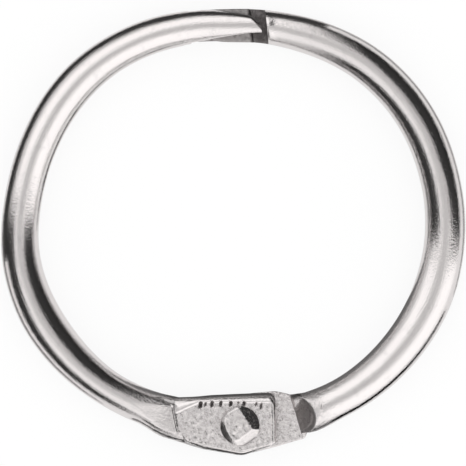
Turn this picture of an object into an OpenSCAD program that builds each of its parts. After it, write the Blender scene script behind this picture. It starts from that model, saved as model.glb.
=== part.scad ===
// Hinged binder ring: two half rings of plated steel wire, lapped and riveted at the
// bottom and snapped together by a half lap at the top. It lies flat: the axis of the
// ring is +Z, the hinge is at -Y and the closure at +Y. The origin is the centre of the
// ring, on the surface that it lies on.

/* [Ring] */
// Diameter of the wire
wire_d = 2.6; // [2.2:0.1:3.2]
// Radius of each half's arc, at the middle of the wire
arc_r = 13.4; // [10:0.1:20]
// Distance between the centres of the two arcs
arc_gap = 2; // [1:0.1:3]

/* [Closure] */
// Diameter that the wire is drawn down to at the closure
end_d = 2.3; // [1.9:0.05:2.5]
// Angle of arc over which each half is drawn down
draw_a = 45; // [25:5:60]
// How far the front lap's nose reaches past the middle of the ring
nose_reach = 1.9; // [1.4:0.1:2.4]
// Width of the nose behind its bevelled tip
nose_w = 1.1; // [0.8:0.05:1.5]
// How far the rear lap reaches past the middle of the ring, the other way
rear_reach = 2.8; // [2.4:0.1:3.2]
// Height of the face between the laps above the middle of the wire
lap_rise = 0.12; // [0:0.02:0.3]
// Height of the catch ridge on each lap
ridge_h = 0.2; // [0.1:0.02:0.3]
// Length of each catch ridge
ridge_l = 0.6; // [0.4:0.05:0.8]
// Lean of the shoulders and ridges from square to the wire
lap_lean = 6; // [0:1:10]
// Gap left between the nose and the shoulder that it points at
nose_gap = 0.3; // [0.2:0.05:0.5]

/* [Hinge] */
// Distance of the rivet from the middle of the ring, towards the rear half
rivet_x = 0.47; // [0:0.01:0.8]
// Distance of the rivet outside the middle line of the wire
rivet_drop = 0.3; // [0.1:0.05:0.4]
// Depth of each hinge plate's outer face below the outside of the wire
face_sink = 0.25; // [0.2:0.05:0.4]
// Distance from the rivet to the square end of a plate
plate_end = 2.4; // [2.1:0.1:2.8]
// Distance from the rivet to the mark where a plate grows out of the wire
plate_root = 4.4; // [4:0.1:5]
// Distance from the rivet to a plate's edge on the inside of the ring
inner_top = 2.2; // [2:0.05:2.4]
// Radius of a plate's corners
corner_r = 0.5; // [0.35:0.05:0.6]
// How far a plate's inner edge rolls in between its foot and its face
edge_roll = 0.5; // [0.3:0.02:0.6]
// Turn of the rear half's plate against the front half's
rear_turn = 3; // [0:0.5:5]
// Distance from the rivet to the foot of the slanted shoulder
shoulder_foot = 3.7; // [3.4:0.1:4]
// Slope of the shoulder
shoulder_a = 46; // [40:1:55]
// Turn of the shoulder's foot from square to the plate
shoulder_turn = 13; // [0:1:16]
// Depth of the coined field in a plate's outer face
field_depth = 0.06; // [0.02:0.02:0.1]

/* [Rivet] */
// Diameter of the rivet's shank
shank_d = 1.5; // [1.2:0.1:1.8]
// Diameter across the foot of the peened head
head_d = 2.64; // [2.2:0.02:2.8]
// Height of the peened head
head_h = 0.5; // [0.3:0.05:0.7]

/* [Clearances] */
// Gap between faces that slide on each other
slip = 0.04; // [0.02:0.01:0.08]
// Gap round the shank in the half that it is fixed in
seat_gap = 0.01; // [0.01:0.01:0.02]

/* [Hidden] */

wire_r = wire_d / 2;
end_r = end_d / 2;
mid_z = wire_r;
half_gap = arc_gap / 2;
rivet_y = -(arc_r + rivet_drop);
face_z = wire_d - face_sink;          // outer face of the front plate
lap_z = mid_z + lap_rise;             // face between the two laps
nose_start = rear_reach - 0.2;        // the nose begins to narrow here, left of the middle
big = 4 * wire_d;                     // longer than anything that is cut

ring_sides = 28;                      // sides of the drawn-down wire
draw_steps = 9;                       // rings along the drawn-down arc
sink_in = 0.99;                       // the drawn end starts inside the plain wire
overlap_a = 1;                        // and this many degrees into it
tail_in = 1.1;                        // the wire runs on this far inside its plate

// Corners of a plate from the rivet, each [x, y, radius], for a plate whose wire arrives
// from -x and whose ring's outside is -y. The widest outline is at the mating face, and
// the outer face is smaller where the round of the wire is left along its edges.
foot_corners = [
    [-plate_root - 1.7, 0.19, 0.4],
    [-plate_root + 0.2, -0.42, corner_r],
    [0.07, -0.85, 1.22],
    [plate_end - corner_r + 0.05, -0.98, corner_r],
    [plate_end - corner_r, inner_top - corner_r, corner_r],
    [-1.9, inner_top - 0.15 - corner_r, corner_r],
    [-plate_root + 0.1, 1.3, corner_r]
];
face_corners = [
    [-plate_root + 0.3, -0.52, 0.3],
    [0.07, -0.8, 1.06],
    [plate_end - corner_r + 0.06, -1.05, corner_r - 0.12],
    [plate_end - corner_r + 0.04, inner_top - edge_roll - corner_r + 0.14, corner_r - 0.14],
    [-2.7, inner_top - 0.15 - edge_roll, 0.15],
    [-plate_root + 0.15, 0.84, 0.15]
];
rim_w = 0.1;                          // rim that is left round the coined field

// ---------------------------------------------------------------- wire

// Station on the middle line of the top: angle along the arc, then the straight run,
// then on round the other arc. t is the distance past the straight run's start.
function top_point(t) =
    t < 0 ? [-half_gap + arc_r * sin(t / arc_r * 180 / PI), arc_r * cos(t / arc_r * 180 / PI)]
    : t < arc_gap ? [t - half_gap, arc_r]
    : [half_gap + arc_r * sin((t - arc_gap) / arc_r * 180 / PI),
       arc_r * cos((t - arc_gap) / arc_r * 180 / PI)];
function top_turn(t) =
    t < 0 ? -t / arc_r * 180 / PI : t < arc_gap ? 0 : -(t - arc_gap) / arc_r * 180 / PI;

draw_l = draw_a * PI / 180 * arc_r;
function drawn_r(t) =
    t >= 0 ? end_r : end_r + (wire_r * sink_in - end_r) * (1 - cos(180 * min(1, -t / draw_l))) / 2;

// One ring of the drawn wire: a circle square to the middle line
function wire_ring(t) = [
    for (i = [0 : ring_sides - 1])
        let (a = 360 * i / ring_sides, r = drawn_r(t), p = top_point(t), w = top_turn(t))
            [p[0] - r * cos(a) * sin(w), p[1] + r * cos(a) * cos(w), mid_z + r * sin(a)]
];

// Rings joined into a closed tube
module tube(stations) {
    rings = [for (t = stations) wire_ring(t)];
    n = len(rings);
    points = [for (ring = rings) for (p = ring) p];
    sides = [
        for (k = [0 : n - 2], i = [0 : ring_sides - 1])
            let (a = k * ring_sides, b = a + ring_sides, j = (i + 1) % ring_sides)
                for (f = [[a + i, b + j, a + j], [a + i, b + i, b + j]]) f
    ];
    first = [for (i = [0 : ring_sides - 1]) i];
    last = [for (i = [ring_sides - 1 : -1 : 0]) (n - 1) * ring_sides + i];
    polyhedron(points, concat([first], sides, [last]));
}

// One half's wire: the plain arc, then the drawn-down end carried past the middle
module half_wire(tail_x, reach) {
    tail_a = 270 - asin((-half_gap - tail_x) / arc_r);
    translate([-half_gap, 0, mid_z])
        rotate_extrude(start = 90 + draw_a, angle = tail_a - 90 - draw_a, $fn = 180)
            translate([arc_r, 0]) circle(r = wire_r, $fn = 48);
    start_t = -draw_l - overlap_a * PI / 180 * arc_r;
    end_t = reach + half_gap + 0.2;
    tube(concat(
        [for (k = [0 : draw_steps]) start_t * (1 - k / draw_steps)],
        [arc_gap, (arc_gap + end_t) / 2, end_t]
    ));
}

// ---------------------------------------------------------------- closure

// Profile along the ring (x, z) of the face between the laps. The rear lap has a ridge
// at its tip, on the left, and a groove at its root, on the right; the front lap the
// other way about. side is 0 for the face itself and slip for the front lap's.
ramp_l = ridge_h * 0.6;
function lap_face(side) = [
    [-rear_reach + ridge_l + side, lap_z + ridge_h + side],
    [-rear_reach + ridge_l + ramp_l + side, lap_z + side],
    [nose_reach - ridge_l - ramp_l + side, lap_z + side],
    [nose_reach - ridge_l + side, lap_z - ridge_h + side]
];

// A profile carried across the wire. It leans a little, as its shoulders do.
module across(profile)
    translate([0, arc_r, 0]) rotate([0, 0, lap_lean])
        translate([0, big / 2, 0]) rotate([90, 0, 0]) linear_extrude(big) polygon(profile);

// Takes the rear lap's room out of the front half
module front_lap_room() {
    shoulder = -rear_reach - nose_gap / 2;
    across(concat(
        [[shoulder, -1], [shoulder, lap_z + ridge_h + slip]],
        lap_face(slip),
        [[nose_reach + big, lap_z - ridge_h + slip], [nose_reach + big, -1]]
    ));
}

// Takes the front lap's room out of the rear half, up to a shoulder
module rear_lap_room() {
    shoulder = nose_reach + nose_gap + 0.1;
    across(concat(
        [[-rear_reach - big, wire_d + 1], [-rear_reach - big, lap_z + ridge_h]],
        lap_face(0),
        [[shoulder, lap_z - ridge_h], [shoulder, wire_d + 1]]
    ));
}

// What is trimmed off both sides of the front lap: it narrows to a nose with a
// bevelled tip that leans to the inside of the ring.
nose_steps = 7;
function nose_half_w(u) = nose_w / 2 + (end_r + 0.02 - nose_w / 2) * pow(1 - u, 1.2);
module nose_trim() {
    bevel_x = nose_reach - 0.62;
    edge = [
        for (k = [0 : nose_steps])
            let (u = k / nose_steps)
                [-nose_start + (bevel_x + nose_start) * u, nose_half_w(u)]
    ];
    tip = [[nose_reach, -0.1], [nose_reach - 0.03, -nose_w / 2 + 0.05]];
    back = [for (k = [nose_steps : -1 : 0]) [edge[k][0], -edge[k][1]]];
    translate([0, arc_r, -1])
        linear_extrude(wire_d + 2)
            difference() {
                translate([-nose_start, -big / 2]) square([nose_start + nose_reach + 1, big]);
                polygon(concat(edge, tip, back));
            }
}

// The rear lap's end is cut square, with its corners taken off
module rear_tip_trim() {
    corner = 0.35;
    translate([0, arc_r, -1])
        linear_extrude(wire_d + 2)
            difference() {
                translate([-rear_reach - 1, -big / 2]) square([1 + corner, big]);
                polygon([
                    [-rear_reach + corner, -end_r], [-rear_reach, -end_r + corner],
                    [-rear_reach, end_r - corner], [-rear_reach + corner, end_r],
                    [-rear_reach + 1, end_r], [-rear_reach + 1, -end_r]
                ]);
            }
}

// ---------------------------------------------------------------- hinge

// Plate about the rivet: low is its mating face and high its outer face
module plate(low, high) {
    t = high - low;
    hull() {
        for (c = foot_corners)
            translate([c[0], c[1], low]) cylinder(r = c[2], h = t * 0.45, $fn = 32);
        for (k = [0 : len(face_corners) - 1])
            let (f = face_corners[k], c = foot_corners[k + 1]) {
                translate([f[0], f[1], low]) cylinder(r = f[2], h = t, $fn = 32);
                translate([(f[0] + 2 * c[0]) / 3, (f[1] + 2 * c[1]) / 3, low])
                    cylinder(r = (f[2] + 2 * c[2]) / 3, h = t * 0.8, $fn = 32);
            }
    }
}

// Shallow field coined into the plate's outer face, inside a narrow rim
module coined_field()
    translate([0, 0, face_z - field_depth])
        linear_extrude(1)
            hull()
                for (f = face_corners)
                    translate([f[0], f[1]]) circle(r = max(0.05, f[2] - rim_w), $fn = 32);

// The wire's flattened end lies this far inside both faces of its plate
end_sink = 0.02;

// Room outside the plate's outer face, from the mark on
module face_room(x, high)
    translate([x - plate_root, rivet_y - big / 2, high - end_sink])
        cube([big * 2, big, wire_d]);

// Facet that leads from the round wire down to the mark. It rises away from the plate
// and is rolled towards the ring's outside.
facet_run = 2;
facet_roll = 24;
module facet_room(x) {
    root = x - plate_root;
    crest_y = -sqrt(arc_r * arc_r - pow(root + half_gap, 2));
    translate([root, crest_y + 0.4, face_z + 0.12])
        rotate([facet_roll, 0, 0]) rotate([0, atan(face_sink / facet_run), 0])
            translate([-big, -big / 2, 0]) cube([big + 0.02, big, wire_d]);
}

// Room inside the mating face, ending in the slanted shoulder, which stands square to
// the wire
module mating_room(x, low) {
    foot = x - shoulder_foot;
    foot_y = -sqrt(arc_r * arc_r - pow(foot + half_gap, 2));
    face = low + end_sink;
    rise = face + 1;
    translate([foot, foot_y, 0]) rotate([0, 0, -shoulder_turn])
        translate([0, big, 0]) rotate([90, 0, 0]) linear_extrude(2 * big)
            polygon([
                [-rise / tan(shoulder_a), -1], [0, face], [2 * big, face], [2 * big, -1]
            ]);
}

module front_half() {
    low = mid_z + slip / 2;
    color("silver") difference() {
        union() {
            difference() {
                half_wire(rivet_x - plate_root + tail_in, nose_reach);
                front_lap_room();
                nose_trim();
                face_room(rivet_x, face_z);
                facet_room(rivet_x);
                mating_room(rivet_x, low);
            }
            translate([rivet_x, rivet_y, 0]) plate(low, face_z);
        }
        translate([rivet_x, rivet_y, 0]) coined_field();
        translate([rivet_x, rivet_y, 0])
            cylinder(r = shank_d / 2 + seat_gap, h = wire_d * 3, center = true, $fn = 64);
    }
}

// The rear half is built as the front half is, then turned over about the Y axis
module turn_over() translate([0, 0, wire_d]) rotate([0, 180, 0]) children();

module rear_half() {
    low = mid_z + slip / 2;
    high = face_z - slip;
    color("silver") difference() {
        union() {
            difference() {
                turn_over() difference() {
                    half_wire(-rivet_x - plate_root + tail_in, rear_reach);
                    face_room(-rivet_x, high);
                    facet_room(-rivet_x);
                    mating_room(-rivet_x, low);
                }
                rear_lap_room();
                rear_tip_trim();
            }
            translate([rivet_x, rivet_y, 0]) rotate([0, 0, rear_turn])
                turn_over() plate(low, high);
        }
        translate([rivet_x, rivet_y, 0])
            cylinder(r = shank_d / 2 + slip, h = wire_d * 3, center = true, $fn = 64);
    }
}

// Rivet: a plain flat head behind, and in front a head hammered to a lopsided octagon
module hinge_rivet() {
    rear_head_t = face_sink;
    chamfer = 0.08;
    color("gainsboro") translate([rivet_x, rivet_y, 0]) {
        cylinder(r1 = head_d / 2 - chamfer, r2 = head_d / 2, h = chamfer, $fn = 64);
        translate([0, 0, chamfer]) cylinder(d = head_d, h = rear_head_t - chamfer, $fn = 64);
        cylinder(d = shank_d, h = face_z, $fn = 64);
        hull() {
            translate([0, 0, face_z - field_depth]) cylinder(d = head_d, h = head_h * 0.3, $fn = 64);
            translate([-0.2, 0.03, face_z + head_h * 0.8])
                cylinder(d = head_d * 0.74, h = head_h * 0.2, $fn = 8);
        }
    }
}

front_half();
rear_half();
hinge_rivet();
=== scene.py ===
"""Looks of a hinged binder ring: two half rings of bright plated wire, riveted at a flat
hinge and closed by a half lap.

Shapes are worked out in millimetres and written in metres, in the frame's own axes: the
ring lies flat with its axis on +Z, the hinge at -Y and the closure at +Y.
"""
import math
import typing

import bpy
import numpy as np
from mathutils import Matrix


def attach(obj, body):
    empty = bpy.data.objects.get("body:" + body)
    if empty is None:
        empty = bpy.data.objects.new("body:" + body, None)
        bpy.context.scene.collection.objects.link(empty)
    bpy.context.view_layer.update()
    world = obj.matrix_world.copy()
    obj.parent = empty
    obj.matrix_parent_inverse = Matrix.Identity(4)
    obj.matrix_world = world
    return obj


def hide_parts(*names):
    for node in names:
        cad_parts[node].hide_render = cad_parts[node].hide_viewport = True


bl_info = {
    "name": "Hinged Binder Ring",
    "version": (1, 0, 0),
    "blender": (4, 5, 0),
    "location": "View3D > Sidebar > Binder Ring",
    "description": "Builds the wire halves, the rivet and the studio of a hinged binder ring",
    "category": "Object",
}

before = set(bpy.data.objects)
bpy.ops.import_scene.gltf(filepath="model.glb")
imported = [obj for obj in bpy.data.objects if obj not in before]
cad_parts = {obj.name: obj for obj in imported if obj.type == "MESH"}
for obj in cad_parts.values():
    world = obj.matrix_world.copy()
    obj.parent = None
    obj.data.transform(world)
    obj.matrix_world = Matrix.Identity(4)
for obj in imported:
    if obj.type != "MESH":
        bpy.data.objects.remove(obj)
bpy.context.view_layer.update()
MM = 0.001


# ------------------------------------------------------------------ sizes and finishes

class RingSizes(bpy.types.PropertyGroup):
    """Sizes of the wire, the laps and the plates, in millimetres"""
    wire_d: bpy.props.FloatProperty(name="Wire", description="Diameter of the wire", default=2.6)
    end_d: bpy.props.FloatProperty(
        name="Drawn end", description="Diameter of the wire at the closure", default=2.3)
    arc_r: bpy.props.FloatProperty(
        name="Arc", description="Radius of each half at the middle of its wire", default=13.4)
    half_gap: bpy.props.FloatProperty(
        name="Half gap", description="Distance of each arc's centre from the middle", default=1.0)
    rivet_x: bpy.props.FloatProperty(
        name="Rivet, across", description="Place of the rivet, towards the rear half", default=0.47)
    rivet_y: bpy.props.FloatProperty(
        name="Rivet, down", description="Place of the rivet from the centre", default=-13.7)
    face_z: bpy.props.FloatProperty(
        name="Plate face", description="Height of the front plate's outer face", default=2.35)
    slip: bpy.props.FloatProperty(
        name="Slip", description="Gap between faces that slide on each other", default=0.04)
    field: bpy.props.FloatProperty(
        name="Field", description="Depth of the coined field in a plate", default=0.06)


class RingFinish(bpy.types.PropertyGroup):
    """Colours and gloss of the plated metal"""
    plate_colour: bpy.props.FloatVectorProperty(
        name="Plating", description="Colour of the bright nickel plate", subtype="COLOR",
        size=4, min=0, max=1, default=(0.79, 0.752, 0.744, 1))
    gloss: bpy.props.FloatProperty(
        name="Wire roughness", description="Roughness of the drawn wire", subtype="FACTOR",
        min=0, max=1, default=0.07)
    coined: bpy.props.FloatProperty(
        name="Flat roughness", description="Roughness of the coined flats", subtype="FACTOR",
        min=0, max=1, default=0.22)
    # this dark colour is also the painted shade in corners, seams, tool marks and on one side of
    # the rivet
    cut_and_shade_colour: bpy.props.FloatVectorProperty(
        name="Recess", description="Colour of the thin plate on cut faces and in corners",
        subtype="COLOR", size=4, min=0, max=1, default=(0.15, 0.138, 0.136, 1))


# ------------------------------------------------------------------ shader expressions

class Wire:
    """A node's output socket that takes part in Python expressions; each adds a Math node."""

    def __init__(self, net, socket):
        self.net, self.socket = net, socket

    def _math(self, operation, other, swap=False):
        pair = (other, self) if swap else (self, other)
        return self.net.node("ShaderNodeMath", {0: pair[0], 1: pair[1]}, operation=operation)

    def __add__(self, other):
        return self._math("ADD", other)

    def __radd__(self, other):
        return self._math("ADD", other, True)

    def __sub__(self, other):
        return self._math("SUBTRACT", other)

    def __rsub__(self, other):
        return self._math("SUBTRACT", other, True)

    def __mul__(self, other):
        return self._math("MULTIPLY", other)

    def __rmul__(self, other):
        return self._math("MULTIPLY", other, True)

    def __truediv__(self, other):
        return self._math("DIVIDE", other)

    def __pow__(self, other):
        return self._math("POWER", other)

    def most(self, other):
        return self._math("MAXIMUM", other)

    def step(self, low, high):
        """0 below low, 1 above high, smooth between."""
        return self.net.node(
            "ShaderNodeMapRange", {"Value": self, "From Min": low, "From Max": high},
            interpolation_type="SMOOTHSTEP")


class Net:
    """A node tree that is written as expressions."""

    def __init__(self, tree):
        self.tree = tree
        tree.nodes.clear()

    def node(self, kind, sockets=None, out=0, **settings):
        """Adds a node: its settings first, then each socket's value or link."""
        made = self.tree.nodes.new(kind)
        for name, value in settings.items():
            setattr(made, name, value)
        for name, value in (sockets or {}).items():
            if isinstance(value, Wire):
                self.tree.links.new(value.socket, made.inputs[name])
            else:
                made.inputs[name].default_value = value
        return Wire(self, made.outputs[out]) if made.outputs else None

    def blend(self, factor, first, second):
        """A colour between two. A Mix node has sockets for each type of value, and 6, 7
        and the output 2 are those of colours."""
        return self.node("ShaderNodeMix", {0: factor, 6: first, 7: second}, out=2,
                         data_type="RGBA")

    def split(self, vector):
        """A vector's three parts."""
        made = self.node("ShaderNodeSeparateXYZ", {0: vector}).socket.node
        return [Wire(self, made.outputs[i]) for i in range(3)]


def new_material(name):
    """A material and the expressions of its node tree."""
    material = bpy.data.materials.new(name)
    material.use_nodes = True
    return material, Net(material.node_tree)


def nickel(name, finish):
    """Bright nickel plate: fine drawing lines along the wire, a soft mottle on what was
    coined or hammered, a few scuffs, a darker colour where the plating is thinner, on
    cut faces, and painted shade, the same dark colour, in corners, seams, tool marks and
    along edges."""
    material, net = new_material(name)
    # turned, so that a flat face doesn't lie along the noise's own grid
    place = net.node("ShaderNodeMapping", {
        "Vector": net.node("ShaderNodeTexCoord", out="Object"),
        "Rotation": (0.7, 0.45, 1.1), "Scale": (1000.0, 1000.0, 1000.0)})
    along = net.node("ShaderNodeUVMap", uv_map="wire_lines")
    stretched = net.node("ShaderNodeMapping", {"Vector": along, "Scale": (0.55, 9.0, 1.0)})
    flat = net.node("ShaderNodeAttribute", out="Fac", attribute_name="coined")
    dull_and_shade = net.node("ShaderNodeAttribute", out="Fac", attribute_name="dull_and_shade")

    def noise(scale, detail, roughness, distortion=0.0, vector=place):
        """A cloud from 0 to 1, with scale lumps or so to the millimetre"""
        return net.node("ShaderNodeTexNoise", {
            "Vector": vector, "Scale": scale, "Detail": detail, "Roughness": roughness,
            "Distortion": distortion})

    lines = noise(1.0, 4.0, 0.65, vector=stretched)
    grain = noise(7.0, 3.0, 0.6)
    mottle = noise(3.0, 4.0, 0.62, distortion=0.6)
    fleck = noise(2.5, 3.0, 0.6).step(0.5, 0.74)
    wave = noise(0.24, 1.0, 0.4)
    scuff = noise(1.1, 5.0, 0.7).step(0.54, 0.68)
    rough = (finish.gloss + 0.05 * lines + 0.05 * scuff
             + (finish.coined - finish.gloss) * flat + 0.25 * dull_and_shade)
    height = ((0.012 * lines + 0.009 * grain + 0.05 * wave) * (1 - flat)
              + (0.085 * mottle + 0.014 * grain) * flat)
    rubbed = tuple(c * 0.86 for c in finish.plate_colour[:3]) + (1,)
    worn = net.blend(0.35 * scuff + 0.12 * mottle, tuple(finish.plate_colour), rubbed)
    # painted shade: this blend also darkens corners, seams, tool marks and edges towards the dark
    # colour, besides the cut faces
    thin_plate_and_shade = dull_and_shade * (0.6 + 0.5 * mottle + 0.2 * fleck) + flat * (0.08 + 0.16 * fleck)
    tone = net.blend(thin_plate_and_shade, worn, tuple(finish.cut_and_shade_colour))
    bump = net.node("ShaderNodeBump", {"Height": height, "Distance": 0.001, "Strength": 1.0})
    surface = net.node("ShaderNodeBsdfPrincipled", {
        "Base Color": tone, "Metallic": 1.0, "Roughness": rough, "Normal": bump})
    net.node("ShaderNodeOutputMaterial", {"Surface": surface})
    return material


# ------------------------------------------------------------------ curves and meshes

def ease(x, low, high):
    """0 below low, 1 above high, and 3t^2 - 2t^3 between."""
    t = np.clip((x - low) / (high - low), 0, 1)
    return t * t * (3 - 2 * t)


def bell(x, centre, width):
    """exp(-((x - centre) / width)^2)"""
    return np.exp(-((x - centre) / width) ** 2)


def smooth_table(x, places, values, width):
    """The line through the values, averaged under exp(-(k / width)^2)"""
    k = np.linspace(-2, 2, 17) * width
    weight = np.exp(-(k / width) ** 2)
    return sum(w * np.interp(x + q, places, values) for w, q in zip(weight, k)) / weight.sum()


def wire_line(s, sizes):
    """The middle line of a half at distance s from the ring's top, positive to the left:
    straight to the arc's start, round the arc, then straight on along the bottom. Gives
    the point and the unit vector that points to the inside of the ring."""
    g, r = sizes.half_gap, sizes.arc_r
    a = np.clip((s - g) / r, 0, math.pi)
    before, after = np.minimum(s - g, 0), np.maximum(s - g - math.pi * r, 0)
    point = np.stack([-g - before - r * np.sin(a) + after, r * np.cos(a)], -1)
    return point, np.stack([np.sin(a), -np.cos(a)], -1)


def reach(discs, point, heading):
    """How far a point can go along a heading before it leaves the hull of some discs. The
    hull's support in direction e is the largest of centre.e + radius, and the reach is
    the least of (support - point.e) / (heading.e) over the directions ahead."""
    a = np.linspace(0, 2 * math.pi, 721)[:-1]
    e = np.stack([np.cos(a), np.sin(a)], -1)
    support = (discs[:, :2] @ e.T + discs[:, 2:]).max(0)
    ahead = heading @ e.T
    room = support - point @ e.T
    return np.where(ahead > 1e-6, room / np.maximum(ahead, 1e-6), np.inf).min(-1)


def depth_inside(discs, point):
    """Distance from a point inside the hull of some discs to its edge: the least of
    support - point.e over all directions e."""
    a = np.linspace(0, 2 * math.pi, 241)[:-1]
    e = np.stack([np.cos(a), np.sin(a)], -1)
    support = (discs[:, :2] @ e.T + discs[:, 2:]).max(0)
    return (support - point @ e.T).min(-1)


def spread(start, end, steps):
    """Stations from start to end whose spacing is steps(s): the running total of
    1 / steps is cut into equal shares."""
    fine = np.linspace(start, end, 60001)
    total = np.concatenate([[0], np.cumsum(1 / steps(0.5 * (fine[1:] + fine[:-1])))])
    total *= fine[1] - fine[0]
    return np.interp(np.linspace(0, total[-1], int(total[-1]) + 2), total, fine)


def even_round(u, z, count):
    """Rings of points resampled to equal steps of their own length, with half of the points
    above the inner point and half below it, so that a cut below shifts no point above. All
    rings are laid end to end on one length axis, so a single interpolation serves them."""
    u, z = np.concatenate([u, u[:, :1]], 1), np.concatenate([z, z[:, :1]], 1)
    step = np.hypot(np.diff(u, axis=1), np.diff(z, axis=1))
    length = np.concatenate([np.zeros((len(u), 1)), np.cumsum(step, 1)], 1)
    shift = np.arange(len(u))[:, None] * (length.max() + 1)
    above, whole = length[:, (u.shape[1] - 1) // 2, None], length[:, -1:]
    share = np.arange(count) * 2 / count
    along = above * np.minimum(share, 1) + (whole - above) * np.maximum(share - 1, 0)
    wanted, flat = shift + along, (length + shift).ravel()
    return (np.interp(wanted, flat, u.ravel()).reshape(wanted.shape),
            np.interp(wanted, flat, z.ravel()).reshape(wanted.shape), along)


def closed_mesh(name, rings, ends, lines, marks):
    """A tube of rings [ring, around, xyz] closed by a fan at each end. If its signed
    volume, the sum of the faces' triple products, is negative, its faces are turned."""
    n, m, _ = rings.shape
    verts = np.concatenate([rings.reshape(-1, 3), ends]) * MM
    i, j = np.meshgrid(np.arange(n - 1), np.arange(m), indexing="ij")
    k = (j + 1) % m
    quads = np.stack([i * m + j, i * m + k, (i + 1) * m + k, (i + 1) * m + j], -1).reshape(-1, 4)
    a = np.arange(m)
    b = (a + 1) % m
    fans = np.concatenate([np.stack([np.full(m, n * m), b, a], -1),
                           np.stack([np.full(m, n * m + 1), (n - 1) * m + a, (n - 1) * m + b], -1)])
    v = verts[quads]
    volume = (np.einsum("ij,ij->i", v[:, 0], np.cross(v[:, 1], v[:, 2])).sum()
              + np.einsum("ij,ij->i", v[:, 0], np.cross(v[:, 2], v[:, 3])).sum())
    if volume < 0:
        quads, fans = quads[:, ::-1], fans[:, ::-1]
    corners = np.concatenate([quads.ravel(), fans.ravel()])
    sizes = np.concatenate([np.full(len(quads), 4), np.full(len(fans), 3)])
    mesh = bpy.data.meshes.new(name)
    mesh.vertices.add(len(verts))
    mesh.vertices.foreach_set("co", verts.astype(np.float32).ravel())
    mesh.loops.add(len(corners))
    mesh.loops.foreach_set("vertex_index", corners.astype(np.int32))
    mesh.polygons.add(len(sizes))
    mesh.polygons.foreach_set("loop_start", (np.cumsum(sizes) - sizes).astype(np.int32))
    mesh.polygons.foreach_set("loop_total", sizes.astype(np.int32))
    mesh.update(calc_edges=True)
    where = np.concatenate([lines.reshape(-1, 2), [[0, 0], [0, 0]]])[corners]
    wrap = np.zeros(len(corners), bool)
    wrap[:quads.size] = np.repeat((quads % m == 0).any(1) & (quads % m == m - 1).any(1), 4)
    round_trip = 2 * lines[:, -1, 1] - lines[:, -2, 1]
    girth = np.concatenate([np.repeat(round_trip, m), [0, 0]])[corners]
    where[:, 1] += np.where(wrap & (corners % m == 0), girth, 0)
    mesh.uv_layers.new(name="wire_lines").data.foreach_set("uv", where.astype(np.float32).ravel())
    for label, value in marks.items():
        mark = mesh.attributes.new(label, "FLOAT", "POINT")
        mark.data.foreach_set("value", np.concatenate(
            [value.ravel(), [value[0].mean(), value[-1].mean()]]).astype(np.float32))
    mesh.validate()
    mesh.polygons.foreach_set("use_smooth", np.ones(len(mesh.polygons), bool))
    mesh.set_sharp_from_angle(angle=math.radians(38))
    piece = bpy.data.objects.new(name, mesh)
    bpy.context.scene.collection.objects.link(piece)
    return piece


# ------------------------------------------------------------------ the halves

# A plate's outline about the rivet, as discs [x, y, radius], at its mating face and at its
# outer face. The wire arrives from -x and the outside of the ring is -y.
FOOT = np.array([[-4.2, -0.62, 0.5], [-2.4, -1.16, 0.5], [0.07, -0.85, 1.22], [1.95, -0.98, 0.5],
                 [1.9, 1.7, 0.5], [-1.9, 1.55, 0.5], [-4.3, 1.3, 0.5]])
FACE = np.array([[-4.1, -0.66, 0.3], [0.07, -0.8, 1.06], [1.96, -1.05, 0.38],
                 [1.94, 1.34, 0.36], [-2.7, 1.55, 0.15], [-4.25, 0.84, 0.15]])
REAR_FOOT = np.array([[-4.0, -0.7, 0.5], [-2.4, -1.1, 0.5], [0.07, -0.85, 1.22],
                      [1.95, -0.98, 0.5], [1.9, 1.5, 0.5], [-2.4, 1.68, 0.5], [-3.7, 1.36, 0.5]])
FOOT_LIMIT, FACE_LIMIT = 2.44, 2.31   # the flat ends of those two outlines
PLATE_ROOT = 4.4      # from the rivet back to the mark where a plate starts
PLATE_END = 2.45      # from the rivet on to the plate's end
SHOULDER_FOOT = 3.8   # from the rivet back to the foot of the slanted shoulder
SHOULDER_SLOPE = math.tan(math.radians(46))
CLOSURE_END = 8       # a station past both laps
HINGE_START = 20      # a station before both plates
DRAWN = 10.5          # length over which the wire is drawn down to the closure
NOWHERE = -50.0       # a height far below everything
BURR = 0.035          # height of the burr along the closure's shoulder
UPSET = 0.065         # height of the ridge at a plate's root
FACET_ROLL = math.radians(7)   # how far the facet before a plate is rolled outwards
FACET_RISE = 0.11     # how fast it climbs from the plate's root
TABLE_BLUR = 4.0      # degrees over which the swell and drift tables are averaged
AROUND = 176          # points round the wire
RAYS = 1200           # directions in which the skin is worked out

# powers of the soft least value where two sides meet: the higher, the sharper
NOSE_OUT, NOSE_IN, PLAIN, PLATE, FACET, SHOULDER, ROOT = 5.0, 12.0, 20.0, 26.0, 34.0, 40.0, 60.0


class Form(typing.NamedTuple):
    """What each half has of its own, in millimetres and degrees. Tables by degrees count
    from the ring's top."""
    rivet_x: float      # place of the rivet across, as the half lies with its plate up
    face_z: float       # height of the plate's outer face
    foot: np.ndarray    # outline of the plate at its mating face
    lap: list           # (x, height) along the lap's face, from the shoulder to the tip
    tip: float          # how far the lap reaches past the middle
    nose: typing.Callable   # half widths of the lap, outside and inside
    lean: float         # lean of the closure's cuts
    swell: tuple        # how much wider than its radius the wire is, by degrees
    drift: tuple        # how far the wire lies inside its arc, by degrees
    bulge: tuple        # how far the wire is pressed out before the plate, and from where
    turn: float = 0     # turn of the plate about the rivet
    skew: float = 0     # skew of the mark at the plate's root
    ticks: tuple = ()   # tool marks on the plate: x, y, half width, half height, depth
    dents: tuple = ()   # hammer dents, in the same way
    nose_edge_shade: float = 0     # painted shade along the nose's outer edge
    wall: float = 0     # painted shade on the plate's inner side wall


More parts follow.
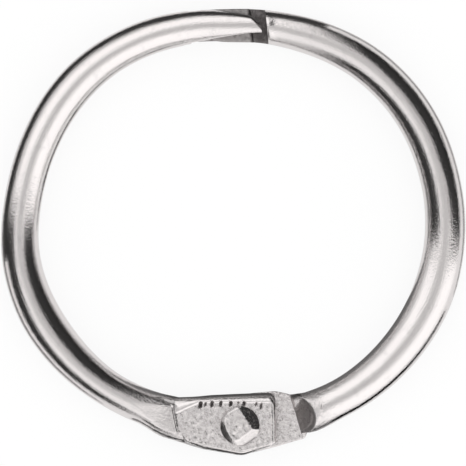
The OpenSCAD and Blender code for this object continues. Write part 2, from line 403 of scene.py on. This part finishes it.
class Places(typing.NamedTuple):
    """Heights and stations that the parts of a half share"""
    mid: float          # height of the wire's middle
    wire_r: float       # radius of the wire
    end_r: float        # radius of the wire at the closure
    low: float          # height of the mating face
    mark: float         # station of the mark at the plate's root
    foot: float         # station of the slanted shoulder's foot
    end: float          # station of the plate's end
    shoulder: float     # station of the closure's shoulder


def places_of(sizes, form):
    """The places of one half"""
    mid = sizes.wire_d / 2
    bottom = sizes.half_gap + math.pi * sizes.arc_r
    mark = bottom + sizes.half_gap + form.rivet_x - PLATE_ROOT
    return Places(mid, mid, sizes.end_d / 2, mid + sizes.slip / 2, mark,
                  mark + PLATE_ROOT - SHOULDER_FOOT, mark + PLATE_ROOT + PLATE_END,
                  -form.lap[0][0])


def stations_of(form, at):
    """Distances along the wire, closest where the section changes fastest: the spacing
    grows by 0.22 of the distance from each such place."""
    places = [(-x, 0.015) for x, _ in form.lap] + [
        (at.shoulder, 0.006), (-form.tip, 0.008), (at.mark, 0.018), (at.foot, 0.03),
        (at.end, 0.008)]

    def steps(s):
        """The spacing at a station"""
        h = np.full_like(s, 0.42)
        h = np.minimum(h, 0.062 + 0.1 * np.maximum(0, s - 4.2))
        h = np.minimum(h, 0.045 + 0.1 * np.maximum(0, at.mark - 2.0 - s))
        for place, fine in places:
            h = np.minimum(h, fine + 0.22 * np.abs(s - place))
        return h

    return spread(-form.tip, at.end - 0.001, steps)


def half_skin(sizes, form, at, s):
    """The sections of a half, as points (u, z) across the wire and up at each station s.

    The surface is rho(s, phi): at each station, the distance from an inner point to the
    skin in every direction phi of the plane across the wire. Each flat or round side
    gives a distance of its own, and they are joined by (sum of rho^-p)^(-1/p), a least
    value with a small round where two sides meet. The plate joins the wire by the greater
    of the two. Also gives the length round each section and the slanted shoulder's height."""
    phi = np.linspace(0, 2 * math.pi, RAYS + 1)[:-1]
    eu, ez = np.cos(phi)[None], np.sin(phi)[None]

    # the lap's face, as a height along the wire, and the inner point
    order = sorted(form.lap)
    floor_z = np.interp(-s, [p[0] for p in order], [p[1] for p in order])
    radius = at.end_r + (at.wire_r - at.end_r) * ease(s, sizes.half_gap, sizes.half_gap + DRAWN)
    thick = form.face_z - at.low
    u0 = np.interp(s, [at.mark - 3, at.mark + 3], [0.0, -0.2])
    lap_mid = 0.5 * (floor_z + at.mid + at.end_r)
    past_lap = ease(s, at.shoulder + 0.02, at.shoulder + 1.6)
    plate_in = ease(s, at.mark - 3.2, at.mark - 1.2)
    z0 = np.where(s < CLOSURE_END, at.mid + (lap_mid - at.mid) * (1 - past_lap),
                  at.mid + (at.low + 0.45 * thick - at.mid) * plate_in)
    u0, z0 = u0[:, None], z0[:, None]

    def side(nu, nz, du, dz):
        """Distance to a flat side with normal (nu, nz) through the point (du, dz)"""
        ahead = nu * eu + nz * ez
        room = np.maximum(nu * (du - u0) + nz * (dz - z0), 0.004)
        return np.where(ahead > 1e-4, room / np.maximum(ahead, 1e-4), 1e6)

    def least(parts, p=PLAIN):
        """The soft least value of some distances"""
        return sum(np.maximum(q, 1e-6) ** -p for q in parts) ** (-1 / p)

    # round wire, a little wider than high where it was bent, and pressed out to the
    # outside of the ring where it runs into the plate
    pressed = form.bulge[0] / 2 * ease(s, at.mark - form.bulge[1], at.mark + 0.8)[:, None]
    degrees = np.degrees((s - sizes.half_gap) / sizes.arc_r)
    broad = (radius * smooth_table(degrees, *form.swell, TABLE_BLUR))[:, None] + pressed
    high, du = radius[:, None], u0 + pressed
    a = (eu / broad) ** 2 + (ez / high) ** 2
    b = du * eu / broad ** 2 + (z0 - at.mid) * ez / high ** 2
    c = (du / broad) ** 2 + ((z0 - at.mid) / high) ** 2 - 1
    round_wire = (-b + np.sqrt(np.maximum(b * b - a * c, 0))) / a

    # closure: the face between the laps, and the sides of the nose
    lap_z = np.where(s < at.shoulder, floor_z, NOWHERE)[:, None]
    out_w, in_w = form.nose(-s)
    wire = least([round_wire, side(0, -1, 0, lap_z)])
    wire = least([wire, side(-1, 0, -out_w[:, None], 0)], NOSE_OUT)
    wire = least([wire, side(1, 0, in_w[:, None], 0)], NOSE_IN)

    # hinge: slanted shoulder below the wire, then the mating face
    slope = at.low - SHOULDER_SLOPE * np.maximum(0, at.foot - s)
    uncut = wire
    plane_z = np.where(s > HINGE_START, slope, NOWHERE)[:, None]
    wire = least([wire, side(0, -1, 0, plane_z)], SHOULDER)
    # on the inside of the ring a narrow rib of the wire is left beside the shoulder
    before_foot = (1 - ease(s, at.foot - 0.12, at.foot))[:, None]
    wire = wire + ease(u0 + uncut * eu, 0.9, 1.1) * before_foot * (uncut - wire)

    # plate: its sides lean in from the mating face to the outer face
    at_p, in_p = wire_line(np.maximum(s, at.mark + 0.2), sizes)
    rel = at_p - np.array([form.rivet_x, sizes.rivet_y])
    levels = []
    for discs, limit in ((form.foot, FOOT_LIMIT), (FACE, FACE_LIMIT)):
        spot = rel.copy()
        spot[:, 0] = np.minimum(spot[:, 0], limit)
        levels.append((reach(discs, spot, in_p), reach(discs, spot, -in_p)))
    (wide_in, wide_out), (face_in, face_out) = levels
    z45, z80 = at.low + 0.45 * thick, at.low + 0.8 * thick
    top = np.interp(rel[:, 0], [2.34, 2.413, PLATE_END], [form.face_z, z80, z45])
    parts = [side(0, 1, 0, top[:, None]), side(0, -1, 0, at.low)]
    for sign, wide, face in ((1, wide_in, face_in), (-1, wide_out, face_out)):
        middle = (face + 2 * wide) / 3
        parts.append(side(sign, 0, sign * wide[:, None], 0))
        for ua, za, ub, zb in ((wide, z45, middle, z80), (middle, z80, face, form.face_z)):
            nu, nz = np.full_like(ua, zb - za), ua - ub
            size = np.hypot(nu, nz)
            parts.append(side(sign * (nu / size)[:, None], (nz / size)[:, None],
                              sign * ua[:, None], za))
    plate = least(parts, PLATE)

    # a facet leads down to the mark, rolled to the outside of the ring; past the mark the
    # wire's crown is cut off level with the face and fades into the plate
    back = np.maximum(0, at.mark - s)[:, None]
    roll = FACET_ROLL * ease(back, 0, 1.3)
    facet_z = form.face_z + 0.01 - 0.04 * ease(back, 0, 0.05) + FACET_RISE * back
    facet_z = np.where(s[:, None] > at.mark - 3.5, facet_z, -NOWHERE)
    facet = side(-np.sin(roll), np.cos(roll), 0.25, facet_z)
    wire = least([wire, facet], FACET)
    grow = ease(s, at.mark - 2.4, at.mark)[:, None]
    fade = 1 - ease(s, at.mark, at.mark + 1.6)[:, None]
    before = least([wire + grow * np.maximum(0, plate - wire), facet], ROOT)
    rho = np.where(s[:, None] < at.mark, before, plate + fade * np.maximum(0, wire - plate))
    return (*even_round(u0 + rho * eu, z0 + rho * ez, AROUND), slope)


def close_ends(u, z):
    """Rings that shrink to the middle of the first and of the last section"""
    shrink = np.concatenate([np.linspace(0.25, 0.97, 7), [0.99]])[:, None]
    cu, cz = u.mean(1), z.mean(1)
    head, tail = ((cu[k] + (u[k] - cu[k]) * shrink, cz[k] + (z[k] - cz[k]) * shrink)
                  for k in (0, -1))
    return (np.concatenate([head[0], u, tail[0][::-1]]),
            np.concatenate([head[1], z, tail[1][::-1]]), len(shrink))


def stamped(x, y, marks, power):
    """The marks' depths about the rivet: depth * exp(-|dx / w|^2 - |dy / h|^power)"""
    return [depth * np.exp(-np.abs((x - mx) / mw) ** 2 - np.abs((y - my) / mh) ** power)
            for mx, my, mw, mh, depth in marks]


def plating(form, at, s, u, z, slope, on_face, far, cuts):
    """How coined the surface is, and how dulled or shaded, from 0 to 1. It is dulled where the
    plating is thinner, on cut faces; shade is painted in the corner by the other half's nose,
    in the seam along the plates' lower sides, along the front nose's outer edge, on the front
    plate's inner wall and in tool marks; it is darker on the lower half of the rib beside the
    shoulder, and a streak on the shoulder is a painted highlight, lighter and glossier."""
    upward = np.maximum(on_face, ease(-z, -at.low - 0.08, -at.low - 0.02))
    flat_plate = ease(s, at.mark - 2.2, at.mark - 0.6) * (0.4 + 0.6 * upward)
    slanted = (s < at.foot) * (1 - ease(np.abs(z - slope), 0.02, 0.06)) * (s > HINGE_START)
    cut_face = (s < at.shoulder + 0.002) * ease(-z, -at.mid - 0.25, -at.mid - 0.12)
    burnished = on_face * (1 - ease(far, 0.12, 0.26))
    coined = np.maximum.reduce([flat_plate, cut_face, slanted]) - 0.8 * burnished

    # painted shade: the cut face is made darker still near the shoulder, by the other half's nose
    corner = ease(s, at.shoulder - 1.3, at.shoulder - 1.1)
    # painted shade: the plates' sides are darkened along the seam just above the mating face, less
    # higher up and not near the outer face
    edge = (ease(s, at.mark + 0.3, at.mark + 1.5) * ease(z, at.low + 0.02, at.low + 0.07)
            * (1 - 0.6 * ease(z, at.low + 0.2, at.low + 0.4))
            * (1 - ease(z, form.face_z - 0.6, form.face_z - 0.3)))
    out_w, _ = form.nose(-s)
    # painted shade: a dark line along the nose's outer edge, where it meets the other half's lap
    nose_edge = ease(-u, out_w - 0.32, out_w - 0.14) * ease(-s, -4.5, -1.5)
    # darker on the lower half of the rib beside the shoulder, near its foot
    beside = (ease(u, 0.86, 1.05) * ease(s, at.foot - 0.9, at.foot - 0.6)
              * (1 - ease(s, at.foot, at.foot + 0.1)) * (1 - ease(z, at.mid - 0.2, at.mid + 0.3)))
    # painted shade: a dark band on the plate's inner side wall, between the mating face and the
    # outer face
    inner_wall = (ease(u, 0.5, 0.9) * ease(s, at.mark - 1.6, at.mark + 0.2)
                  * ease(z, at.low + 0.02, at.low + 0.1)
                  * (1 - ease(z, form.face_z - 0.5, form.face_z - 0.12)))
    # a painted highlight: a streak along the far side of the slanted shoulder is made lighter and
    # glossier
    round_z = np.sqrt(np.maximum(at.wire_r ** 2 - u ** 2, 0))
    far_edge = (at.low - at.mid + round_z) / SHOULDER_SLOPE
    lip = bell(at.foot - s, far_edge - 0.2, 0.07) * ease(-u, 0, 0.5)
    dull_and_shade = np.maximum.reduce([
        cut_face * (0.6 + 0.4 * corner), 0.8 * edge, slanted * (0.64 - 0.6 * lip),
        form.nose_edge_shade * nose_edge, 0.9 * beside, form.wall * inner_wall,
        # painted shade in the tool marks, darker the deeper they are
        on_face * np.clip(cuts / 0.12, 0, 1)])
    return {"coined": np.clip(coined, 0, 1), "dull_and_shade": dull_and_shade}


def half_ring(sizes, form):
    """One half, as it lies when its front plate faces up: its sections are set along the
    wire's line, and the plate's face is then pressed and marked."""
    at = places_of(sizes, form)
    s = stations_of(form, at)
    u, z, along, slope = half_skin(sizes, form, at, s)

    # burr along the shoulder of the closure
    crest = np.clip((at.mid - z) / at.end_r, 0, 1)
    away = s - at.shoulder - 0.13
    z = z - BURR * bell(away, 0, np.where(away < 0, 0.08, 0.3))[:, None] * crest

    u, z, caps = close_ends(u, z)
    s, slope = np.pad(s, caps, mode="edge"), np.pad(slope, caps, constant_values=NOWHERE)
    along = np.pad(along, ((caps, caps), (0, 0)), mode="edge")

    # the closure's cuts are straight planes that lean, while the wire already curves, so
    # points slide along the wire by their distance across it; the mark at the plate's root
    # may be skewed in the same way, above the mating face
    curve = np.maximum(0, s - sizes.half_gap) / sizes.arc_r
    slide = u * (np.tan(math.radians(form.lean) - curve) * (1 - ease(s, 4.5, 7.5)))[:, None]
    slide = slide + form.skew * u * bell(s, at.mark, 1.3)[:, None] * ease(z, at.low, at.low + 0.7)
    p, n = wire_line(s[:, None] - slide, sizes)
    # the hand of the bending tool: the wire wanders a little from its arc
    degrees = np.degrees((s - sizes.half_gap) / sizes.arc_r)
    off = smooth_table(degrees, *form.drift, TABLE_BLUR)
    xy = p + (u - off[:, None])[..., None] * n
    # past the middle a lap follows the other half's arc
    xy[..., 1] -= np.maximum(0, -s - sizes.half_gap)[:, None] ** 2 / (2 * sizes.arc_r)

    # the coined field, its marks, and the small upset at its root
    rel = xy - np.array([form.rivet_x, sizes.rivet_y])
    on_face = (ease(z, form.face_z - 0.1, form.face_z - 0.03)
               * (s > at.mark - 0.05)[:, None])
    far = np.zeros_like(z)
    near = s > at.mark - 0.5
    far[near] = depth_inside(FACE, rel[near].reshape(-1, 2)).reshape(-1, z.shape[1])
    cuts = np.maximum.reduce([np.zeros_like(z), *stamped(rel[..., 0], rel[..., 1], form.ticks, 4)])
    sunk = sizes.field * ease(far, 0.05, 0.23) + cuts
    for dent in stamped(rel[..., 0], rel[..., 1], form.dents, 2):
        sunk = sunk + dent
    z = z - on_face * sunk
    ridge = bell(s, at.mark - 0.07, 0.07)[:, None] * ease(z, at.mid + 0.5, at.mid + 0.8)
    z = z + UPSET * ridge * ease(u, -1.2, -0.9) * (1 - ease(u, 0.5, 0.8))

    # the plate may stand turned about the rivet
    w = math.radians(form.turn) * ease(s, at.mark - 0.6, at.mark + 1.2)[:, None]
    cos, sin = np.cos(w), np.sin(w)
    x = form.rivet_x + rel[..., 0] * cos - rel[..., 1] * sin
    y = sizes.rivet_y + rel[..., 0] * sin + rel[..., 1] * cos

    marks = plating(form, at, s[:, None], u, z, slope[:, None], on_face, far, cuts)
    lines = np.stack([np.broadcast_to(s[:, None], z.shape), along], -1)
    ends = [np.array([x[k].mean(), y[k].mean(), z[k].mean()]) for k in (0, -1)]
    return np.stack([x, y, z], -1), ends, lines, marks


def turned_over(points, sizes):
    """Half a turn about the Y axis, at the height of the wire's middle"""
    return points * np.array([-1, 1, -1]) + np.array([0, 0, sizes.wire_d])


def nose_sides(x):
    """Half widths of the front lap, on the outside and the inside of the ring: it narrows
    evenly on the outside and as (1 - t)^1.2 on the inside, to a nose whose tip is
    bevelled from the outside."""
    t = np.clip((x + 3.4) / (1.28 + 3.4), 0, 1)
    width = 0.55 + (1.3 - 0.55) * (1 - t) ** 1.2
    width = width + 0.8 * np.maximum(0, -3.4 - x)
    outer = 0.64 - (x - 1.28) * np.where(x > 1.28, 0.74 / 0.62, 0.27)
    return outer, np.where(x > 1.28, 0.55 - (x - 1.28) * 0.08, width)


def square_sides(x):
    """Half widths of the rear lap, which narrows a little towards its tip."""
    places = [-0.4, 1.2, 2.3, 2.6, 2.8]
    return (np.interp(x, places, [1.7, 1.4, 1.28, 1.1, 0.88]),
            np.interp(x, places, [1.6, 1.13, 1.08, 1.02, 0.86]))


class RING_OT_front_half(bpy.types.Operator):
    """Makes the left half, whose lap and plate lie in front"""
    bl_idname = "ring.front_half"
    bl_label = "Front half"

    def execute(self, context):
        sizes, finish = context.scene.ring_sizes, context.scene.ring_finish
        ticks = ((-2.67, 1.4, 0.085, 0.2, 0.22), (-2.34, 1.44, 0.055, 0.13, 0.13),
                 (-1.9, 1.46, 0.07, 0.19, 0.2), (-1.3, 1.48, 0.065, 0.18, 0.18),
                 (-0.62, 1.47, 0.075, 0.16, 0.18), (-0.1, 1.52, 0.05, 0.1, 0.08),
                 (0.27, 1.46, 0.08, 0.16, 0.16), (1.1, 1.46, 0.05, 0.14, 0.1),
                 (1.43, 1.32, 0.06, 0.2, 0.13))
        dents = np.random.default_rng(11).uniform(
            (-4.0, -1.2, 0.07, 0.07, -0.02), (2.2, 1.4, 0.16, 0.16, 0.02), (90, 5))
        swell = ([0, 20, 32, 50, 60, 77, 95, 108, 118, 128, 136, 146, 160],
                 [1, 0.99, 0.97, 1, 0.99, 0.97, 0.985, 1.03, 1.085, 1.06, 1, 0.92, 0.93])
        drift = ([12, 20, 35, 44, 54, 64, 76, 84, 98, 106, 118, 128, 136, 146, 158],
                 [0, 0.055, 0.1, 0.07, -0.02, -0.11, -0.13, -0.08, 0.17, 0.22, 0.2, 0.13, 0.1,
                  0.07, 0])
        form = Form(
            sizes.rivet_x, sizes.face_z, FOOT,
            lap=[(-2.95, 1.66), (-2.16, 1.66), (-2.04, 1.46), (1.22, 1.46), (1.34, 1.26),
                 (1.9, 1.26)],
            tip=1.9, nose=nose_sides, lean=6, swell=swell, drift=drift, bulge=(0.3, 1.8),
            skew=0.45, ticks=ticks, dents=tuple(dents), nose_edge_shade=1.4, wall=0.8)
        piece = closed_mesh("front_half_ring", *half_ring(sizes, form))
        piece.data.materials.append(nickel("drawn nickel, front", finish))
        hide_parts("front_half")
        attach(piece, "front")
        return {"FINISHED"}


class RING_OT_rear_half(bpy.types.Operator):
    """Makes the right half, which is the same form turned over"""
    bl_idname = "ring.rear_half"
    bl_label = "Rear half"

    def execute(self, context):
        sizes, finish = context.scene.ring_sizes, context.scene.ring_finish
        swell = ([0, 8, 20, 44, 62, 80, 98, 108, 116, 128, 140, 152, 160],
                 [1, 1.02, 1.03, 1.045, 1.075, 1.07, 1.11, 1.17, 1.165, 1.12, 1.07, 1.015, 1])
        drift = ([2, 10, 16, 26, 36, 50, 62, 74, 88, 113, 130, 150, 162],
                 [0, -0.08, -0.08, 0, 0.09, 0.1, 0.07, 0, 0.02, 0.07, 0.04, 0.06, 0])
        form = Form(
            -sizes.rivet_x, sizes.face_z - sizes.slip, REAR_FOOT,
            lap=[(-2.3, 1.38), (-1.3, 1.38), (-1.18, 1.18), (2.08, 1.18), (2.2, 0.98),
                 (2.8, 0.98)],
            tip=2.8, nose=square_sides, lean=-6, swell=swell, drift=drift, bulge=(0.45, 2.8),
            turn=-3)
        rings, ends, lines, marks = half_ring(sizes, form)
        rings = turned_over(rings, sizes)
        ends = [turned_over(e, sizes) for e in ends]
        piece = closed_mesh("rear_half_ring", rings, ends, lines, marks)
        piece.data.materials.append(nickel("drawn nickel, rear", finish))
        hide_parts("rear_half")
        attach(piece, "rear")
        return {"FINISHED"}


# ------------------------------------------------------------------ the rivet

HEAD_R = 1.31         # radius of the front head
CROWN = 2.83          # height of its top
PAINTED_SHADE_BEARING = 206             # bearing of the side of the head that is painted in shade, in degrees
# the facets of the head: bearing, distance out to where the plane meets the top, slope
FACETS = ((35, 0.62, 34), (-56, 0.73, 40), (-105, 1.12, 46), (-143, 0.98, 40),
          (-172, 0.98, 40), (155, 1.06, 45), (120, 1.12, 45), (88, 1.18, 46))


def rivet_skin(sizes):
    """The rivet as rings about its axis: a flush rear head, the shank, and a front head
    whose height is -ln(sum of exp(-34 h)) / 34 over the heights h of a flat top and of
    eight sloping planes, less a few hammer dents. Shade is painted on one side of the head
    and at its foot, and the shank and the rear head below are darkened with it."""
    seat = sizes.face_z - sizes.field
    # profile from the middle of the rear head, out, in along the shank and out again
    r = np.concatenate([np.linspace(0.05, 1.24, 14), [1.27, 1.305, 1.32, 1.32, 1.3, 1.0, 0.75],
                        np.full(6, 0.75), [0.76, 1.1, HEAD_R]])
    z = np.concatenate([np.zeros(14), [0.01, 0.04, 0.08, 0.24, 0.25, 0.25, 0.255],
                        np.linspace(0.3, seat - 0.05, 6), [seat, seat, seat]])
    inward = np.cos(np.linspace(0.02, 1, 44) * math.pi / 2) ** 0.9
    head_r = np.maximum(np.concatenate([[1.32, 1.32, 1.318], HEAD_R * inward]), 0.02)
    a = np.linspace(0, 2 * math.pi, 161)[:-1]
    rr = np.concatenate([r, head_r])[:, None]
    x, y = rr * np.cos(a), rr * np.sin(a)

    def out_towards(bearing):
        """Distance from the rivet's axis along a bearing"""
        b = math.radians(bearing)
        return x * math.cos(b) + y * math.sin(b)

    parts = [CROWN + 0.01 * x - 0.015 * y]
    for bearing, out, slope in FACETS:
        parts.append(CROWN - math.tan(math.radians(slope)) * (out_towards(bearing) - out))
    top = -np.log(sum(np.exp(-34 * q) for q in parts)) / 34
    dents = np.random.default_rng(4).uniform(
        (-1.0, -0.95, 0.1, -0.02), (0.8, 0.95, 0.24, 0.035), (36, 4))
    for cx, cy, size, deep in dents:
        top = top - deep * np.exp(-((x - cx) ** 2 + (y - cy) ** 2) / size ** 2)
    top = np.maximum(top, seat + 0.05)
    n = len(r)
    height = np.concatenate([np.broadcast_to(z[:, None], (n, len(a))), top[n:]])
    height[n] = seat + 0.01
    height[n + 1] = 0.5 * (seat + top[n + 1])
    rings = np.stack([sizes.rivet_x + x, sizes.rivet_y + y, height], -1)
    lines = np.stack([np.broadcast_to(rr, x.shape), rr * a], -1)
    # painted shade: everything up to just above the head's seat is darkened, at the foot of the
    # front head and on the shank and the rear head
    wall = ease(-height, -seat - 0.2, -seat - 0.08)
    # painted shade on one side of the front head
    painted_shade_side = ease(out_towards(PAINTED_SHADE_BEARING), 0.92, 1.08)
    marks = {"coined": 0.6 * (1 - painted_shade_side), "dull_and_shade": np.maximum(0.8 * wall, painted_shade_side)}
    return rings, [rings[0].mean(0), rings[-1].mean(0)], lines, marks


class RING_OT_rivet(bpy.types.Operator):
    """Makes the rivet, with its flush rear head and its hammered front head"""
    bl_idname = "ring.rivet"
    bl_label = "Rivet"

    def execute(self, context):
        sizes, finish = context.scene.ring_sizes, context.scene.ring_finish
        piece = closed_mesh("peened_rivet", *rivet_skin(sizes))
        piece.data.materials.append(nickel("hammered nickel", finish))
        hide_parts("hinge_rivet")
        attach(piece, "front")
        return {"FINISHED"}


# ------------------------------------------------------------------ the studio

# grey cards, painted shade that only reflections show: name, radii at the start and at the end,
# rim's height, bearings, tone
SHADE_CARDS = (("outer_card", (16.9, 16.7), (60, 60), 8, (68, 190), 0.05),
         ("outer_left_card", (16.5, 16.5), (19, 19), 0.05, (172, 238), 0.22),
         ("hinge_card", (16.4, 16.4), (24, 24), 0.02, (246, 292), 0.05),
         ("lower_card", (15.6, 18.5), (17.8, 40), 0.04, (284, 336), 0.0),
         ("right_card", (15.9, 15.9), (17.6, 17.6), 0.02, (-20, 82), 0.3),
         ("inner_card", (0.5, 0.5), (11.8, 11.8), 0.02, (-140, 2), 0.2),
         ("right_inner_card", (0.5, 0.5), (8.0, 8.0), 0.04, (-22, 78), 0.04),
         ("left_card", (7.7, 9.9), (9.2, 11.3), 0.02, (90, 184), 0.03))
CARD_Z = 0.02         # height at which the cards lie
CARD_STEPS = 96
FLOOR = 0.6           # half the floor's width, in metres
FLOOR_Z = -1e-5       # its height, in metres
LENS, SENSOR = 400.0, 36.0
VIEW_WIDTH = 31.6     # how much the camera sees across, in millimetres


def light_path(net, ray):
    """1 for one kind of ray, and 0 for the others."""
    return net.node("ShaderNodeLightPath", out=ray)


class RING_OT_studio(bpy.types.Operator):
    """Makes the pale floor, the soft light and the camera"""
    bl_idname = "ring.studio"
    bl_label = "Studio"

    def execute(self, context):
        scene = context.scene
        scene.view_settings.view_transform = "Standard"
        self.light(scene)
        self.floor(scene)
        for card in SHADE_CARDS:
            self.card(scene, *card, scene.ring_sizes.half_gap)
        self.camera(scene)
        return {"FINISHED"}

    def light(self, scene):
        """The world's soft light, which has dark parts that only reflections show. Its
        height and bearing come from the direction (x, y, z)."""
        world = bpy.data.worlds.new("soft studio")
        scene.world = world
        world.use_nodes = True
        net = Net(world.node_tree)
        x, y, z = net.split(net.node("ShaderNodeTexCoord", out="Generated"))
        flat = ((x * x + y * y).most(0.000001)) ** 0.5

        def ahead(bearing):
            """Cosine of the angle, on plan, from a bearing"""
            b = math.radians(bearing)
            return (x * math.cos(b) + y * math.sin(b)) / flat

        def facing(bearing, inner, outer):
            """1 within inner degrees of a bearing, 0 past outer degrees"""
            return ahead(bearing).step(math.cos(math.radians(outer)), math.cos(math.radians(inner)))

        def between(low, high, soft):
            """1 between two heights above the horizon, in degrees"""
            edges = [math.sin(math.radians(v))
                     for v in (low - soft, low + soft, high - soft, high + soft)]
            return z.step(edges[0], edges[1]) * (1 - z.step(edges[2], edges[3]))

        light = (0.64 + 0.38 * between(28, 76, 12)
                 + 0.22 * facing(125, 30, 60) * between(26, 77, 9)
                 + facing(-45, 35, 62) * (0.58 * between(0, 29, 9) + 0.28 * between(29, 64, 9)))
        right = facing(33, 35, 43) * between(3, 88, 2) * (
            1 - (z + 0.4 * (1 - ahead(36))).step(0.955, 0.985))
        right = right.most(0.88 * facing(75, 24, 50) * (1 - z.step(0.24, 0.44)))
        left = facing(209, 31, 40) * (1 - (z + 0.3 * ahead(290)).step(0.73, 0.8))
        light = (light * (1 - 0.96 * right) * (1 - 0.94 * left)).most(0.0)
        seen, lit = light_path(net, "Is Camera Ray"), light_path(net, "Is Diffuse Ray")
        glow = seen + (1 - seen) * (lit * 0.95 + (1 - lit) * light)
        colour = net.node("ShaderNodeBackground", {"Color": (1, 1, 1, 1), "Strength": glow})
        net.node("ShaderNodeOutputWorld", {"Surface": colour})

    def floor(self, scene):
        """The pale floor, which keeps the shadow and looks nearly white"""
        material, net = new_material("pale sweep")
        mirrored = light_path(net, "Is Glossy Ray").most(light_path(net, "Is Transmission Ray"))
        seen = light_path(net, "Is Camera Ray").most(0.6 * mirrored)
        surface = net.node("ShaderNodeMixShader", {
            0: seen * 0.8,
            1: net.node("ShaderNodeBsdfDiffuse", {"Color": (0.8, 0.8, 0.8, 1)}),
            2: net.node("ShaderNodeEmission", {"Color": (1, 1, 1, 1), "Strength": 1.06})})
        net.node("ShaderNodeOutputMaterial", {"Surface": surface})
        mesh = bpy.data.meshes.new("floor")
        corners = [(x * FLOOR, y * FLOOR, FLOOR_Z) for x, y in ((-1, -1), (1, -1), (1, 1), (-1, 1))]
        mesh.from_pydata(corners, [], [(0, 1, 2, 3)])
        floor = bpy.data.objects.new("floor", mesh)
        mesh.materials.append(material)
        scene.collection.objects.link(floor)

    def camera(self, scene):
        """A long lens straight above the ring"""
        camera = bpy.data.cameras.new("camera")
        camera.lens, camera.sensor_width = LENS, SENSOR
        camera.clip_start, camera.clip_end = 0.01, 10.0
        eye = bpy.data.objects.new("camera", camera)
        eye.location = (0.0, -0.68 * MM, (1.3 + VIEW_WIDTH * LENS / SENSOR) * MM)
        scene.collection.objects.link(eye)
        scene.camera = eye

    def card(self, scene, name, inner, outer, rim, bearings, tone, gap):
        """A grey card that only reflections show, a sheet of painted shade that darkens the
        wire's reflections of the floor and of the low horizon: it lies flat from the inner to
        the outer radius, follows the two arcs, turns up to the rim's height at its outer edge,
        and narrows towards its two ends as the square root of the distance from them."""
        t = np.linspace(0, 1, CARD_STEPS + 1)[:, None]
        a = np.radians(bearings[0] + (bearings[1] - bearings[0]) * t)
        inner, outer = (r[0] + (r[1] - r[0]) * t for r in (inner, outer))
        narrow = np.sqrt(np.clip(5 * np.minimum(t, 1 - t), 0.0001, 1))
        r = inner + (outer - inner) * narrow * np.array([0, 1, 1])
        x = r * np.cos(a) + gap * np.clip(6 * np.cos(a), -1, 1)
        height = CARD_Z + (rim - CARD_Z) * narrow * np.array([0, 0, 1])
        points = np.stack([x, r * np.sin(a), height], -1) * MM
        i, j = np.meshgrid(np.arange(CARD_STEPS), np.arange(2), indexing="ij")
        k = 3 * i + j
        faces = np.stack([k, k + 1, k + 4, k + 3], -1).reshape(-1, 4)
        mesh = bpy.data.meshes.new(name)
        mesh.from_pydata(points.reshape(-1, 3).tolist(), [], faces.tolist())
        material, net = new_material(name)
        net.node("ShaderNodeOutputMaterial", {
            "Surface": net.node("ShaderNodeBsdfDiffuse", {"Color": (tone, tone, tone, 1)})})
        mesh.materials.append(material)
        made = bpy.data.objects.new(name, mesh)
        scene.collection.objects.link(made)
        made.visible_camera = made.visible_diffuse = made.visible_shadow = False
        made.visible_transmission = False


class RING_PT_panel(bpy.types.Panel):
    """Lists the ring's pieces and its sizes"""
    bl_idname = "RING_PT_panel"
    bl_label = "Binder Ring"
    bl_space_type = "VIEW_3D"
    bl_region_type = "UI"
    bl_category = "Binder Ring"

    def draw(self, context):
        for group in (context.scene.ring_sizes, context.scene.ring_finish):
            box = self.layout.box()
            for name in group.__annotations__:
                box.prop(group, name)
        for step in STEPS:
            self.layout.operator(step.bl_idname)


STEPS = (RING_OT_front_half, RING_OT_rear_half, RING_OT_rivet, RING_OT_studio)
CLASSES = (RingSizes, RingFinish) + STEPS + (RING_PT_panel,)


def register():
    """Adds the classes and the scene's two groups of settings"""
    for item in CLASSES:
        bpy.utils.register_class(item)
    bpy.types.Scene.ring_sizes = bpy.props.PointerProperty(type=RingSizes)
    bpy.types.Scene.ring_finish = bpy.props.PointerProperty(type=RingFinish)


def unregister():
    """Takes them away again"""
    del bpy.types.Scene.ring_finish, bpy.types.Scene.ring_sizes
    for item in reversed(CLASSES):
        bpy.utils.unregister_class(item)


def main():
    """Makes every piece and the studio"""
    register()
    bpy.ops.ring.front_half()
    bpy.ops.ring.rear_half()
    bpy.ops.ring.rivet()
    bpy.ops.ring.studio()


if __name__ == "__main__":
    main()
